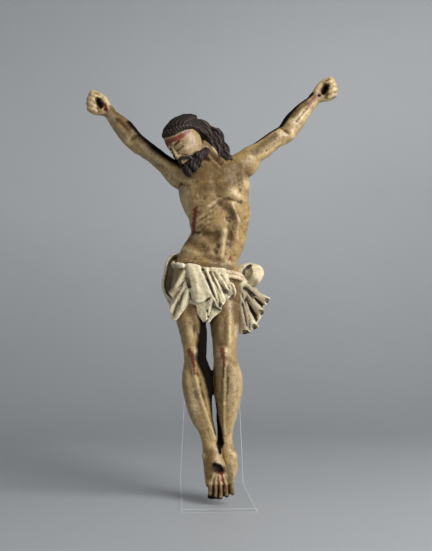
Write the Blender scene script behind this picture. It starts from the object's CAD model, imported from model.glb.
# %% [markdown]
# # A carved and painted corpus on a clear stand
# The real piece is a small crucifix figure: a body, arms and a pleated loincloth carved in wood, laid over
# with gesso, painted in oil and worn by handling. A bent sheet of clear acrylic holds it up from behind.
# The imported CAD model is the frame: it gives every piece its place and size. Here the rough solid of the
# figure gives way to six finer pieces: body, head, hair, beard, loincloth and girdle. The stand and its screw
# are made again with their edges finished.

import math

import bpy
import numpy as np
from mathutils import Matrix, Vector, noise


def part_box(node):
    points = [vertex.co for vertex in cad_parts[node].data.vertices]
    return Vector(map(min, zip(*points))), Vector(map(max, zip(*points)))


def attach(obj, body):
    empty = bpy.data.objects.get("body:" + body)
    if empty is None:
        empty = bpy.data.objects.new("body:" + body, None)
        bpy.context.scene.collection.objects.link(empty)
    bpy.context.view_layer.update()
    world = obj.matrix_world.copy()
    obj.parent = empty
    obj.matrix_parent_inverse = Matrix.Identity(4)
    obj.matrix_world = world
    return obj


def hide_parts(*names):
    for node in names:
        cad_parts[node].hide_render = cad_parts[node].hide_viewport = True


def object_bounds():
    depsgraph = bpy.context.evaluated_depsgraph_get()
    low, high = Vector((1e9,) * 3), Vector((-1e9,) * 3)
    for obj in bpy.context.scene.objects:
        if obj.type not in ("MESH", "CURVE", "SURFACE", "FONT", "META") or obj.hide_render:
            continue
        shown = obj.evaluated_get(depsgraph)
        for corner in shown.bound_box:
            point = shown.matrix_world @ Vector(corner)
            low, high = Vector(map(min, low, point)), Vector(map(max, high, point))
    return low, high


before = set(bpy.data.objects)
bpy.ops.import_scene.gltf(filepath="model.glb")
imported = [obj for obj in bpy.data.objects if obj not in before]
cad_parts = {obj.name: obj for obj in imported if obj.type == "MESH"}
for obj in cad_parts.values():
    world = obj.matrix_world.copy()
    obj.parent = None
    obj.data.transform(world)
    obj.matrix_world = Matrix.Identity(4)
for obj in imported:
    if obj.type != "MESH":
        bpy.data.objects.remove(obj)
cad_low, cad_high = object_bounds()
print("CAD box in mm:", [round(v * 1000, 1) for v in (*cad_low, *cad_high)])

# %% [markdown]
# ## Camera
# The photograph was taken a little to the figure's right, from about a third of its height, looking up by
# a few degrees. The place and angle were worked out from the stand's straight edges, whose sizes are known.

# %% Camera
MM = 0.001
CAMERA_PLACE = (-0.0425, -0.800, 0.1477)
CAMERA_YAW = 3.09               # degrees to the right
CAMERA_PITCH = 5.7              # degrees up
LENS = 50
SENSOR_WIDTH = 36
NEAREST = 0.01


def deselect():
    bpy.ops.object.select_all(action="DESELECT")


deselect()
bpy.ops.object.camera_add(
    location=CAMERA_PLACE,
    rotation=(math.radians(90 + CAMERA_PITCH), 0, -math.radians(CAMERA_YAW)),
)
camera = bpy.context.object
camera.name = "camera"
camera.data.lens = LENS
camera.data.sensor_width = SENSOR_WIDTH
camera.data.clip_start = NEAREST
bpy.context.scene.camera = camera
print("camera at", [round(v, 4) for v in camera.location])

# %% [markdown]
# ## Working in millimetres
# A carver thinks of a figure in its own measure, so all places below are in millimetres from the middle of
# the figure's flat back, with its toes at height 0: x to its left, y to the back and z up. Two helpers read
# and write the corners of a mesh in that measure, so that only modifiers and edit tools need metres.

# %% Corners of a mesh in the figure's own measure
TOES_OVER_GROUND = 4.0
FIGURE_ORIGIN = np.array([0.0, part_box("corpus_figure")[1].y / MM, TOES_OVER_GROUND])


def read(elements, name, width=3, kind=np.float32):
    flat = np.empty(len(elements) * width, kind)
    elements.foreach_get(name, flat)
    return flat.reshape(-1, width)


def corners(piece):
    return read(piece.data.vertices, "co").astype(float) / MM - FIGURE_ORIGIN


def move_corners(piece, places):
    piece.data.vertices.foreach_set("co", ((places + FIGURE_ORIGIN) * MM).astype(np.float32).ravel())
    piece.data.update()


def outward(piece):
    return read(piece.data.vertex_normals, "vector").astype(float)


def take(*pieces):
    deselect()
    for piece in pieces:
        piece.select_set(True)
    bpy.context.view_layer.objects.active = pieces[0]


def finish_with(piece, kind, **settings):
    take(piece)
    modifier = piece.modifiers.new(kind.lower(), kind)
    for name, value in settings.items():
        setattr(modifier, name, value)
    bpy.ops.object.modifier_apply(modifier=modifier.name)
    return piece


print("figure origin in mm:", FIGURE_ORIGIN.round(2))

# %% [markdown]
# ## A ball drawn out into a limb
# An arm could be extruded ring by ring, or built from metaballs. Here it starts as a ball, whose rings are
# slid along the arm's middle line and stretched to its width and depth at that place. The line is a
# Catmull-Rom spline through a few stations, the same ones that the CAD solid has, so a limb made here lies
# on its solid whatever number of rings it has. Strands of hair are cut into a limb by the same function.

# %% Spline and limb
FRONT = np.array([0.0, -1.0, 0.0])
CAP_RINGS = 5


def spline(points, t):
    points = np.asarray(points, float)
    last = len(points) - 1
    whole = np.minimum((np.clip(t, 0, 1) * last).astype(int), last - 1)
    w = (np.clip(t, 0, 1) * last - whole)[:, None]
    padded = np.vstack([2 * points[0] - points[1], points, 2 * points[-1] - points[-2]])
    a, b, c, d = (padded[whole + k] for k in range(4))

    def gap(m, n):
        return (np.sum((m - n) ** 2, axis=1) ** 0.25)[:, None]

    middle = gap(b, c)
    middle = np.where(middle < 1e-4, 1.0, middle)
    before = np.where(gap(a, b) < 1e-4, middle, gap(a, b))
    after = np.where(gap(c, d) < 1e-4, middle, gap(c, d))
    leave = ((b - a) / before - (c - a) / (before + middle) + (c - b) / middle) * middle
    arrive = ((c - b) / middle - (d - b) / (middle + after) + (d - c) / after) * middle
    return b + leave * w + (3 * (c - b) - 2 * leave - arrive) * w**2 + (2 * (b - c) + leave + arrive) * w**3


def unit(vectors):
    return vectors / np.maximum(np.linalg.norm(vectors, axis=1), 1e-9)[:, None]


def limb(stations, sides=24, rings=24, ends=(0, 0), square=1.0, across=None, strands=None):
    deselect()
    count = rings + 2 * CAP_RINGS
    bpy.ops.mesh.primitive_uv_sphere_add(segments=sides, ring_count=count, radius=1)
    form = bpy.context.object
    ball = read(form.data.vertices, "co").astype(float)
    ring = np.rint(np.arccos(np.clip(ball[:, 2], -1, 1)) / math.pi * count)
    angle = np.arctan2(ball[:, 1], ball[:, 0])
    t = np.clip((ring - CAP_RINGS) / rings, 0, 1)
    start = np.clip(CAP_RINGS - ring, 0, None) / CAP_RINGS
    end = np.clip(ring - CAP_RINGS - rings, 0, None) / CAP_RINGS
    lean = (start + end) * math.pi / 2
    full = np.array([list(s) + [s[-1]] * (6 - len(s)) for s in stations], float)
    centre = spline(full[:, :3], t)
    size = spline(full[:, 3:], t)
    along = unit(spline(full[:, :3], t + 1e-3) - spline(full[:, :3], t - 1e-3))
    side = unit(np.cross(along, FRONT)) if across is None else np.tile(across, (len(t), 1)).astype(float)
    front = unit(np.cross(side, along))
    c, s = (np.sign(v) * np.abs(v) ** square for v in (np.cos(angle), np.sin(angle)))
    depth = np.where(s > 0, size[:, 1], size[:, 2])
    scale = np.cos(lean)
    if strands:
        number, cut, turns = strands
        wave = np.abs(np.sin((number * angle) / 2 + math.pi * turns * t))
        scale = scale * (1 - (cut / size.min(1)) * (1 - wave) ** 1.5)
    shift = np.where(start > 0, -ends[0], ends[1]) * size.min(1) * np.sin(lean)
    places = centre + along * shift[:, None] + side * (c * size[:, 0] * scale)[:, None]
    move_corners(form, places + front * (s * depth * scale)[:, None])
    return form


print("a limb has", 24 * (24 + 2 * CAP_RINGS), "corners or so")

# %% [markdown]
# ## One skin over many forms
# A carved figure has no seams. The forms are joined and wrapped in one new skin by the voxel Remesh
# modifier, then the Smooth modifier melts the corners where two forms meet, as a rasp would. What must stay
# crisp, such as fingers, is kept out of the smoothing. After that the knife follows: each stroke raises or
# sinks the skin along a short line, with soft edges, as a clay brush does in sculpt mode. Strokes from the
# front have only x and z, and fade where the skin turns away from the viewer.

# %% Join, smooth and carve
def one_skin(name, forms, voxel, smooth, crisp=None):
    take(*forms)
    bpy.ops.object.join()
    skin = bpy.context.object
    skin.name = skin.data.name = name
    finish_with(skin, "REMESH", mode="VOXEL", voxel_size=voxel * MM)
    if crisp is None:
        finish_with(skin, "SMOOTH", factor=0.5, iterations=smooth)
    else:
        soft = skin.vertex_groups.new(name="soft")
        soft.add(np.flatnonzero(~crisp(corners(skin))).tolist(), 1.0, "REPLACE")
        finish_with(skin, "SMOOTH", factor=0.5, iterations=smooth, vertex_group="soft")
        finish_with(skin, "SMOOTH", factor=0.5, iterations=2)
        skin.vertex_groups.clear()
    bpy.ops.object.shade_smooth()
    print(name, "has", len(skin.data.polygons), "faces")
    return skin


def near_line(places, start, end, radius):
    start, end = np.asarray(start, float), np.asarray(end, float)
    line = end - start
    share = np.clip((places - start) @ line / max(float(line @ line), 1e-9), 0, 1)
    away = np.linalg.norm(places - start - share[:, None] * line, axis=1)
    return np.exp(-((away / radius) ** 2))


def carve(piece, strokes, from_front=False):
    places, normals = corners(piece), outward(piece)
    seen = places[:, [0, 2]] if from_front else places
    move = sum(height * near_line(seen, start, end, radius) for start, end, radius, height in strokes)
    if from_front:
        move = move * np.clip(0.4 - normals[:, 1] * 2, 0, 1)
    move_corners(piece, places + normals * move[:, None])


def dab(place, radius, height):
    return (place, place, radius, height)


def tool_marks(piece, size, depth):
    places = corners(piece)
    swell = np.array([noise.fractal(Vector(place / size), 1.0, 2.0, 3) for place in places])
    move_corners(piece, places + outward(piece) * (swell * depth)[:, None])


def hold_in(piece, low, high):
    move_corners(piece, np.clip(corners(piece), low, high))


def cut(form, cutter):
    finish_with(form, "BOOLEAN", operation="DIFFERENCE", object=cutter, solver="EXACT")
    bpy.data.objects.remove(cutter)
    return form


print("helpers ready")

# %% [markdown]
# ## The body
# The body is lean, as the old carvers liked it: broad chest, hollow belly, long legs bent at the knee, the
# right foot over the left. The stations are the body's cross-sections from the CAD solid, each with its
# place, half width, depth to the front and depth to the back.

# %% Torso, neck and hips
def torso():
    return limb([
        (-9.6, -25, 214, 31, 18, 18), (-9.3, -24, 224, 33, 19, 19), (-7.9, -23, 236, 32.1, 19, 19),
        (-3.6, -23, 249, 28.6, 18, 17), (3.2, -24, 263, 28, 17, 16.5), (3.2, -26, 275, 30.9, 20, 17.5),
        (2.2, -27, 288, 32.6, 22, 19), (-1, -28, 300, 34.6, 22.5, 20), (-3.1, -29, 311, 36, 21.5, 20.5),
        (-1, -30, 323, 35, 18.5, 19), (1, -30, 334, 31, 15, 16), (2, -29, 343, 22, 10, 12),
    ], sides=48, rings=48, ends=(0, 0.5), square=0.86)


def neck():
    return limb([
        (1, -29, 330, 13, 12, 12), (-3, -31, 340, 10.5, 11, 11), (-12, -37, 348.6, 9.6, 10.4, 10.4),
        (-20, -42, 353, 8.6, 9.4, 9.4),
    ], sides=28)


def hips():
    return limb([
        (-9.2, -27, 181, 28, 14, 15), (-10.4, -27, 190, 33.6, 19, 18), (-10.8, -26, 206, 35, 21.6, 20),
        (-10.4, -25, 220, 34.4, 21.6, 20), (-9.4, -24, 230, 32.8, 19.6, 19.4), (-8, -23, 240, 29, 16, 16),
    ], sides=36, ends=(0, 0.4), square=0.86)


# %% Arms
def arms():
    right = limb([
        (-14, -31, 318, 12, 11, 13), (-26, -30, 321, 13.5, 12, 13), (-37.8, -28, 324, 13, 12, 12),
        (-52.9, -25, 337.6, 9.6, 10, 10), (-68.1, -22, 349.9, 8.9, 9.4, 9.4), (-85.6, -19, 363.3, 10, 9, 9),
        (-94.7, -17, 375, 10.5, 9.5, 9), (-102.5, -15, 384, 8.8, 8.4, 8), (-112.7, -12, 395.5, 5.8, 6.2, 6),
    ], sides=28, rings=48)
    left = limb([
        (6, -31, 326, 12, 11, 13), (16, -30, 332, 13, 12, 13), (28.4, -28, 337.6, 14.4, 12, 12),
        (39, -26, 348.7, 11, 11, 11), (47.5, -24, 354.3, 9.6, 10, 10), (62.9, -21, 366.8, 9.4, 9.6, 9.6),
        (74.5, -19, 374.7, 10.1, 9, 9), (82.5, -17.5, 386, 10.9, 9.8, 9.2),
        (92.5, -15, 398.8, 9.4, 8.8, 8.4), (107, -12, 414.4, 5.9, 6.4, 6),
    ], sides=28, rings=48)
    return [right, left]


# %% Legs
def legs():
    right = limb([
        (-26, -28, 191, 16.4, 18, 18), (-26, -32, 176, 15, 17, 17), (-23.4, -40, 160.5, 13.4, 14.5, 15.5),
        (-22, -47, 145.5, 11.6, 12, 13), (-21.9, -46, 137.7, 11, 12, 12),
        (-20.9, -42, 128.8, 13.4, 12.5, 14), (-19.7, -37, 115.7, 15.6, 13.5, 16.5),
        (-19.1, -33, 103.6, 14.8, 13, 16), (-16.6, -29, 85.6, 12.2, 11.5, 12.5),
        (-13.7, -28, 75.6, 10.5, 10, 10), (-9.5, -27, 65.5, 8.4, 8.6, 8.6), (-7, -27, 55.6, 8.1, 8.2, 8.2),
        (-4, -28, 43, 9.4, 8.6, 9),
    ], sides=32, rings=60)
    left = limb([
        (7.8, -28, 191, 16.4, 18, 18), (7.5, -32, 176, 15, 17, 17), (7.3, -40, 160.5, 13, 14.5, 15.5),
        (6.7, -47, 145.5, 11.8, 12, 13), (7.3, -46, 137.6, 11.6, 12, 12), (8.9, -41, 128.7, 12.8, 12.5, 14),
        (11.3, -34, 115.6, 14.8, 13.5, 16), (11.7, -29, 103.4, 14.6, 13, 15),
        (11.5, -23, 85, 11.3, 11.5, 11.5), (10.1, -20, 74.8, 9.8, 10, 9.6), (9.2, -18, 64.6, 8.2, 8.6, 8.2),
        (9.3, -17, 54.4, 7.7, 8, 7.8), (11, -18, 41, 8.6, 8.4, 8.6),
    ], sides=32, rings=60)
    return [right, left]


# %% [markdown]
# ## Hands and feet
# Each hand is half closed, with its fingers curled over the palm round the missing nail. Places in a hand
# are counted from the wrist: along the reach, over to the thumb and to the front, so one function makes
# both hands.

# %% Hands
RIGHT_HAND = ((-112.7, -13, 395.5), (-0.91, 0, 0.41), (0.41, 0, 0.91))
LEFT_HAND = ((107, -13, 414.4), (0.89, 0, 0.45), (-0.45, 0, 0.89))
KNUCKLES = ((25, 7.8), (24.8, 3), (23.4, -1.8), (20.4, -6.6))


def in_hand(which, along, over, front):
    wrist, reach, thumb_side = (np.asarray(v, float) for v in which)
    place = wrist + unit(reach[None])[0] * along + unit(thumb_side[None])[0] * over
    return tuple(place + FRONT * front)


def hand(which):
    def part(stations, **form):
        return limb([(*in_hand(which, *station[:3]), *station[3:]) for station in stations], **form)

    palm = part([
        (-4, 0, 0, 5.6, 5, 4.8), (4, 1.6, 0, 7.8, 5.4, 4.8), (12, 2, 0, 10.6, 4.8, 4.4),
        (20, 0.6, 0.6, 9.4, 3.2, 3.4),
    ], rings=16, ends=(0, 0.5))
    fingers = [part([
        (out - 8, over, 0.4, 2.5), (out - 2, over, 0.8, 2.55), (out, over, 4.8, 2.5),
        (out - 3.4, over, 8.6, 2.45), (out - 9.6, over, 8.2, 2.1),
    ], sides=14, rings=20, ends=(0, 0.6)) for out, over in KNUCKLES]
    thumb = part([
        (3, 5, 2, 4.2), (11, 9.6, 3, 4.2), (19, 11.6, 4.4, 3), (24.6, 11.2, 6.4, 2.2),
    ], sides=16, rings=16, ends=(0, 0.8))
    return [palm, *fingers, thumb]


# %% Feet
TOE_TIPS = ((-7.6, -48, 3.6), (-2.4, -50, 3.4), (3, -50.4, 4), (8.8, -49, 5), (14.6, -47, 6.6))
TOE_SPREAD = 0.86


def feet():
    upper = limb([
        (-4, -28, 46, 9, 8, 9), (-3.6, -31, 36, 10.2, 8, 8), (-1.5, -37, 26, 11.6, 7, 6.6),
        (1, -43, 15, 12.4, 5, 5),
    ], sides=28, rings=16)
    lower = limb([
        (11, -18, 43, 8.6, 8.4, 8.6), (12.6, -21, 32, 9.6, 8, 8), (9, -28, 21, 10, 7, 6.6),
        (2, -35, 11, 9.4, 5, 5),
    ], sides=28, rings=16)
    toes = [limb([
        (1 + (x - 1) * TOE_SPREAD, -40, 21, 2.8), (1 + (x - 1) * (1 + TOE_SPREAD) / 2, -48.6, 14.4, 2.75),
        (1 + (x - 1) * (1 + TOE_SPREAD) / 2, y - 0.6, 9, 2.6), (x, y + 1.4, z, 2.3),
    ], sides=14, rings=16, ends=(0, 0.8)) for x, y, z in TOE_TIPS]
    under = [limb([(*root, 4), (*tip, 3.4)], sides=16, rings=6, ends=(0, 0.6))
             for root, tip in (((-3, -35, 12), (-5.4, -43, 3.2)), ((3, -36, 10), (1.6, -44, 3)))]
    return [upper, lower, *toes, *under]


# %% [markdown]
# ## Carving the body
# The strokes give the anatomy: breast muscles, rib arch and ribs, collar bones, navel, the muscles and
# tendons of the limbs, kneecaps, shins and ankle bones. Each is a line, a radius and a height, all but the
# back's and the nail holes' as seen from the front.

# %% Skin of the body
def hands_or_feet(places):
    return (np.abs(places[:, 0]) > 106) | (places[:, 2] < 30)


def ribs():
    right = [((-7 - k, 284.6 - 5.2 * k), (-21 + k, 277 - 5.2 * k), 1.5, 0.7) for k in range(4)]
    left = [((34, 294 - 7.4 * k), (25, 287 - 7.4 * k), 1.9, 0.5) for k in range(4)]
    return right + left


TORSO_STROKES = [
    ((-27, 307), (-9, 304), 9, 1.0), ((10, 306), (20, 300), 6.4, 2.6), ((-26, 297), (-8, 297.6), 2.8, -0.5),
    ((2, 298.6), (11, 297.4), 2.6, -0.8), ((11, 297.4), (23.8, 294), 2.4, -1.2),
    ((26, 331), (30, 313), 4.4, 1.7), ((30, 313), (31, 298), 4.2, 1.0), ((20, 322), (24, 306), 3.4, -0.8),
    ((2.7, 297), (-9, 289), 2.2, 1.1), ((-9, 289), (-20, 276), 2.6, 0.8), ((4, 293), (13, 281), 5, -1.1),
    ((10, 277), (17, 268), 4, -1.2), ((14, 292.4), (21.4, 275), 2.1, 1.9),
    ((21.4, 275), (20, 259), 2.6, 1.3), ((27, 290), (27, 266), 4.6, -1.1),
    ((6.8, 264), (3.7, 240), 3.2, 3.0), ((-3, 264), (-1, 246), 5, -0.8), ((14, 262), (15, 244), 3.4, -0.9),
    dab((1.8, 250.1), 2.0, -1.6), ((-29, 260), (-12, 247), 5, -0.9), ((-33, 248), (-16, 239), 3.2, 0.7),
    ((26, 250), (16, 238), 3.2, -0.8), ((-28, 327), (-8, 323), 2.6, 0.6), ((24, 338), (6, 328), 2.4, 0.6),
    ((-3, 318), (-1, 300), 4, -0.7), dab((-20.5, 299.6), 1.2, 0.8), dab((23.9, 295.6), 1.3, -1.3),
    ((-40, 316), (-30, 310), 2.6, -0.9),
]
BACK_STROKES = [
    ((0, -8, 325), (-4, -4, 250), 3.4, -2.2), ((-16, -8, 318), (-24, -10, 300), 7, 1.6),
    ((18, -8, 322), (25, -10, 302), 7, 1.6),
]
NECK_STROKES = [
    ((-12, 345), (1, 331), 1.9, 1.7), ((-5, 351), (7, 336), 1.9, 1.5), ((-8, 346), (3, 333), 1.8, -1.2),
]
ARM_STROKES = [
    ((-58, 340), (-77, 353), 4.4, 1.5), ((-60, 349), (-80, 364), 4.4, 1.0),
    ((-66, 342), (-84, 356), 2, -0.7), dab((-92, 362), 4, 1.8), ((-92, 367), (-104, 380), 4, 1.3),
    ((-88, 374), (-101, 389), 3, 0.9), ((-92, 373), (-105, 387), 1.5, -0.8),
    ((-84, 367), (-90, 361), 2.2, -1.3), ((-104, 387), (-114, 398), 1.2, 0.7),
    ((44, 351), (64, 366), 4.4, 1.5), ((44, 360), (66, 376), 4.4, 1.0), ((52, 352), (70, 366), 2, -0.8),
    dab((79, 370), 4, 1.8), ((79, 384), (92, 399), 4, 1.3), ((86, 382), (96, 396), 3, 0.9),
    ((84, 385), (97, 401), 1.5, -0.8), ((68, 378), (76, 372), 2.2, -1.3), ((96, 403), (108, 416), 1.2, 0.7),
]
LEG_STROKES = [
    dab((-24.5, 143), 5, 2.2), ((-29, 138), (-19, 136.6), 2.8, -0.5), dab((-24, 131), 3, 1.2),
    ((-24, 127), (-17.3, 100), 1.8, 1.4), ((-17.3, 100), (-2.6, 58), 1.8, 1.8),
    ((-20, 122), (-12, 92), 2.8, -0.5), ((-27, 124), (-23, 92), 2.8, -0.4), ((-31, 124), (-24, 88), 3, 1.2),
    ((-13, 126), (-6, 84), 4, 0.8), ((-20, 168), (-18, 150), 2.4, 1.5), ((-30, 176), (-27, 154), 3.6, 1.0),
    ((-25, 180), (-23, 156), 2.8, -0.5), dab((3, 44), 3, 0.8), dab((-13.4, 41), 3.2, 1.8),
    dab((6, 143), 5, 2.4), ((2, 138), (11, 136.6), 2.8, -0.5), dab((6.6, 131), 3, 1.2),
    ((6.6, 127), (7, 92), 1.7, 1.6), ((7, 92), (8, 62), 1.7, 1.2), ((10.6, 118), (10, 102), 1.2, -0.4),
    ((15, 126), (16, 96), 3.4, 1.0), ((20, 124), (19, 96), 2.6, -0.8), ((13, 178), (11, 154), 3.6, 1.2),
    ((2, 178), (2, 156), 2.6, 1.1), ((8, 182), (6, 158), 2.8, -0.5), dab((19, 40), 3.2, 1.8),
]
TOE_GAPS = [a[0] + 0.5 * (b[0] - a[0]) for a, b in zip(TOE_TIPS, TOE_TIPS[1:])]
FOOT_STROKES = [
    *[((1 + (x - 1) * 0.3, 30), (1 + (x - 1) * 0.8, 18), 1.2, 0.9) for x, y, z in TOE_TIPS],
    *[((1 + (x - 1) * 0.9, 15), (x, 5), 0.9, -1.8) for x in TOE_GAPS],
]
FOOT_NAIL_STROKES = [
    ((-3, -46, 31.6), (3.4, -45, 29.6), 3.8, -3.2), ((-2, -44, 30.4), (3, -43, 28.6), 3.0, -1.6),
]
EDGE_ROOM = 0.2                 # how far the hands stay inside the CAD box


def nail_strokes(which):
    return [
        (in_hand(which, 15, 5, 8), in_hand(which, 10, 1.5, 7), 2.4, -3.2),
        dab(in_hand(which, 4.5, 0.5, 6), 1.6, -2.0),
        (in_hand(which, 6, -4, 6), in_hand(which, 16, -5, 5), 1.3, -0.6),
    ]


body = one_skin(
    "body",
    [torso(), neck(), hips(), *arms(), *legs(), *hand(RIGHT_HAND), *hand(LEFT_HAND), *feet()],
    voxel=1.06, smooth=8, crisp=hands_or_feet,
)
carve(body, TORSO_STROKES + ribs() + NECK_STROKES + ARM_STROKES + LEG_STROKES + FOOT_STROKES, from_front=True)
carve(body, BACK_STROKES)
carve(body, nail_strokes(RIGHT_HAND) + nail_strokes(LEFT_HAND))
for stroke in FOOT_NAIL_STROKES:
    carve(body, [stroke])
tool_marks(body, size=5, depth=0.22)
tool_marks(body, size=15, depth=0.5)
hold_in(body, (cad_low.x / MM + EDGE_ROOM, -np.inf, -np.inf), (cad_high.x / MM - EDGE_ROOM, np.inf, np.inf))

# %% [markdown]
# ## The head
# The face is a plain, calm one of no person in particular, set out by the old rule that an upright head has
# its eyes half way down, with the nose and mouth a quarter and a third below. It is made upright round its
# own middle, so that both sides match, and only then turned to its right shoulder and bowed.

# %% Face
HEAD_CENTRE = np.array([-32.4, -46, 355])
HEAD_TURN = (
    Matrix.Rotation(math.radians(-50), 3, "Z")
    @ Matrix.Rotation(math.radians(32), 3, "X")
    @ Matrix.Rotation(math.radians(-20), 3, "Y")
)


def bow(form):
    move_corners(form, corners(form) @ np.array(HEAD_TURN).T + HEAD_CENTRE)
    return form


def from_head(place):
    return tuple(np.array(HEAD_TURN) @ np.asarray(place, float) + HEAD_CENTRE)


def both_sides(x, *rest):
    return [(side * x, *rest) for side in (-1, 1)]


def face_forms():
    skull = limb([
        (0, 0, 22, 9, 9, 10), (0, 0, 17, 13.4, 15.4, 14), (0, 0, 8, 16, 18.6, 17),
        (0, 0, -2, 15.8, 18.4, 17), (0, -1, -10, 14, 18, 14), (0, -3, -18, 10.6, 15.6, 9),
        (0, -6, -25, 5.6, 10.6, 5),
    ], sides=64, rings=48, ends=(0, 0.5))
    nose = limb([
        (0, -16.4, 5.4, 1.5, 1.8, 3), (0, -17, 0.4, 1.5, 2.6, 3), (0, -17.2, -5, 2.1, 4.4, 4),
        (0, -17.2, -8, 2.5, 4.6, 4), (0, -16.8, -10, 1.8, 2.4, 3),
    ], sides=20, rings=20, ends=(0.3, 0.4))
    wings = [limb([(x * 0.7, -18, -8.6, 1.6), (x, -16.6, -8.4, 1.7)], sides=14, rings=6, ends=(0.8, 0.8))
             for x, in both_sides(2.9)]
    eyes = [limb([(x * 0.62, -14.6, 0.2, 2.6), (x, -14.2, 0.2, 3.1), (x * 1.34, -12.4, 0, 2.4)],
                 sides=18, rings=8, ends=(0.8, 0.8)) for x, in both_sides(6.8)]
    lips = [limb([(-4.2, -16.4, z, 0.6, 0.8), (0, -18.4, z, 1.3, h), (4.2, -16.4, z, 0.6, 0.8)],
                 sides=12, rings=16, ends=(0.5, 0.5)) for z, h in ((-14.2, 1.2), (-16.2, 1.5))]
    return [skull, nose, *wings, *eyes, *lips]


FACE_STROKES = [
    *[((x * 0.36, -18.6, 5.2), (x, -15.6, 5.4), 1.6, 0.8) for x, in both_sides(10)],
    *[((x * 0.42, -18, 2.4), (x, -15.4, 2.6), 1.3, -0.9) for x, in both_sides(9)],
    *[((x * 0.4, -17.6, -3.4), (x, -14.4, -3.8), 1.4, -0.8) for x, in both_sides(9)],
    *[((x * 0.45, -18.4, -0.5), (x, -15.6, -1.3), 0.55, -0.6) for x, in both_sides(9.4)],
    *[dab((x, -13.6, -6.4), 3.4, 0.9) for x, in both_sides(10.4)],
    *[((x, -17.4, -9), (x * 1.9, -15.2, -14), 1.2, -0.6) for x, in both_sides(3.8)],
    *[dab((x, -20, -10.3), 0.8, -0.9) for x, in both_sides(1.6)],
    ((-3.8, -18.2, -15.2), (3.8, -18.2, -15.2), 0.6, -0.7), dab((0, -18.6, -12), 0.9, -0.5),
    dab((0, -17, -19), 1.6, -0.6), dab((0, -16.6, -22.4), 2.6, 0.9),
]

head = one_skin("head", [bow(form) for form in face_forms()], voxel=0.5, smooth=4)
carve(head, [(from_head(start), from_head(end), *size) for start, end, *size in FACE_STROKES])

# %% [markdown]
# ## Hair and beard
# The hair is combed back from the brow, bares the side of the neck and falls in twisted locks on the left
# shoulder. The cap's strands run from the brow to the nape: they are ripples that depend only on the angle
# round the line from brow to nape, with a slow wave. A lock is a limb with strands wound round it.

# %% Hair
COMB_STRANDS = 66
COMB_CUT = 1.2
COMB_SWAY = 2.2
LOCK_WAVE = 1.5
LOCK_STRANDS = (5, 2.2, 3.2)    # number, depth and turns


def comb(form):
    places = corners(form)
    around = np.arctan2(places[:, 0], np.hypot(places[:, 1] - 5, places[:, 2] + 14))
    slow = COMB_SWAY * np.sin(places[:, 1] * 0.2 + places[:, 2] * 0.15)
    wave = np.abs(np.sin(COMB_STRANDS * around / 2 + slow))
    move_corners(form, places - outward(form) * (COMB_CUT * (1 - wave) ** 1.5)[:, None])
    return form


def hair_cap():
    return limb([
        (0, 5, 27, 5, 6, 6), (0, 5, 24.6, 12.4, 14.6, 15), (0, 5, 20.4, 17, 19.4, 20.4),
        (0, 5.4, 15, 20, 20.4, 23), (0, 6, 10.6, 19.6, 15, 22.6), (0, 8, 6.4, 18.4, 6, 22),
        (0, 13, -1.4, 17, 2.4, 18.6), (0, 18, -10.4, 14.6, 2, 12.6), (0, 19, -19, 11, 3, 8),
    ], sides=144, rings=90, ends=(0.2, 0.5))


def fringe():
    return limb([
        (-9, -10.6, 19, 2.6, 2, 2), (-4, -13.6, 17.8, 3.4, 2.2, 2.2), (3, -15.8, 15.8, 4.2, 2.2, 2.2),
        (8, -14.4, 13.4, 4.6, 2.2, 2.2), (12, -11.4, 12.6, 4.2, 2.2, 2.2),
        (15.2, -5.4, 10.6, 4.4, 2.2, 2.2), (16.4, 3, 8, 4.4, 2.2, 2.2),
    ], sides=60, rings=50, ends=(0.4, 0.4))


def lock(points, thick):
    last = len(points) - 1
    stations = []
    for i, (x, y, z) in enumerate(points):
        swell = thick * (0.55 + 0.6 * math.sin(math.pi * min(0.85, 0.25 + 0.6 * i / last)))
        sway = LOCK_WAVE * (1 if i % 2 else -1)
        stations.append((x + sway, y - sway, z, swell * (0.45 if i == last else 1)))
    return limb(stations, sides=30, rings=14 * last, ends=(0, 0.6), strands=LOCK_STRANDS)


def shoulder_locks():
    return [
        lock([(-27, -34, 380), (-16, -32, 378), (-6.4, -29, 374), (1, -27, 368), (5.6, -27, 360.4),
              (7.6, -28, 353), (12, -31, 346), (20, -35, 340.6)], 4.8),
        lock([(-26, -44, 378), (-16, -41, 374), (-7, -37, 368), (-1, -35, 360), (3, -35, 352),
              (8, -38, 344.6), (17, -41.6, 339.6)], 4.4),
        lock([(-20, -49, 372), (-12, -45, 366), (-5, -40, 359), (-1, -39, 351), (5, -41.6, 344),
              (11, -43, 339.6)], 4),
        lock([(-26, -26, 373), (-16, -23, 367), (-7, -20, 359), (2, -19, 350), (9, -21, 342)], 5.4),
        lock([(-34, -27, 366), (-26, -22, 358), (-16, -18, 350), (-7, -17, 341)], 5.8),
        lock([(-47, -38, 361), (-43, -32, 352), (-37, -28, 344), (-30, -25, 336)], 5),
        lock([(-19, -36, 375), (-14, -34, 376.4), (-9.6, -32, 374.6), (-8, -31, 371)], 3.6),
        lock([(-5, -32, 371), (-1, -31, 371), (3, -30, 368), (4.4, -30, 363)], 3.8),
    ]


combed = [bow(comb(form)) for form in (hair_cap(), fringe())]
hair = one_skin("hair", [*combed, *shoulder_locks()], voxel=0.55, smooth=1)

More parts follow.
